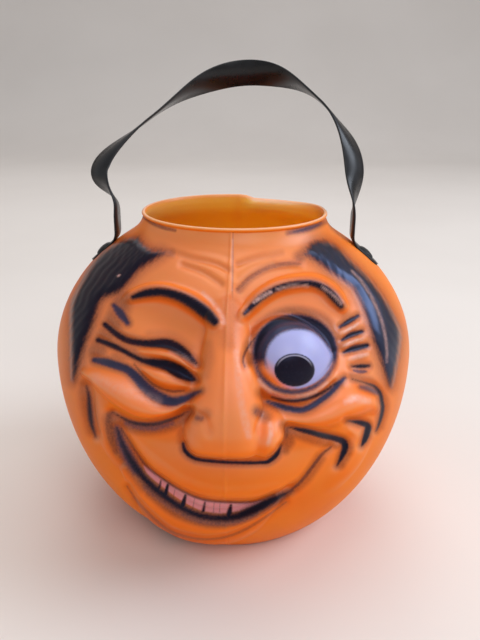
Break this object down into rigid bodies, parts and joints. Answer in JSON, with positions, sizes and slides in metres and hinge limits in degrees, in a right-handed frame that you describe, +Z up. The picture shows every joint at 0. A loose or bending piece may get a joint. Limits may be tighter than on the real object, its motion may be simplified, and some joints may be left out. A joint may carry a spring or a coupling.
{
  "type": "pumpkin candy pail",
  "caption": "Round orange blow-moulded candy pail with a moulded winking face, an open collared mouth and a flat black carry strap riveted to its shoulders.",
  "frame": {"origin": "middle of the flat foot, on the table", "axes": "+Z up through the mouth, the face looks along -Y, +X is on the viewer's right when facing the face"},
  "size_m": [0.19, 0.2057, 0.2445],
  "materials": {
    "orange_plastic": "blow-moulded polyethylene, semi-gloss, face lines sprayed in black and the open eye in white",
    "strap_plastic": "black flat extruded polyethylene strip, glossy",
    "rivet_plastic": "black moulded plastic push rivet, low domed head"
  },
  "bodies": {
    "pail": {"pail_shell": "orange_plastic", "strap_tab_left": "strap_plastic", "strap_tab_right": "strap_plastic", "rivet_left": "rivet_plastic", "rivet_right": "rivet_plastic"},
    "handle": {"strap_bow": "strap_plastic"}
  },
  "joints": [
    {"name": "handle_swing", "type": "hinge", "parent": "pail", "child": "handle", "pos_m": [0, 0, 0.16584], "axis": [1, 0, 0], "range_deg": [-65, 96], "stiffness_Nm_per_rad": 0.012, "springref_deg": 4.01}
  ]
}
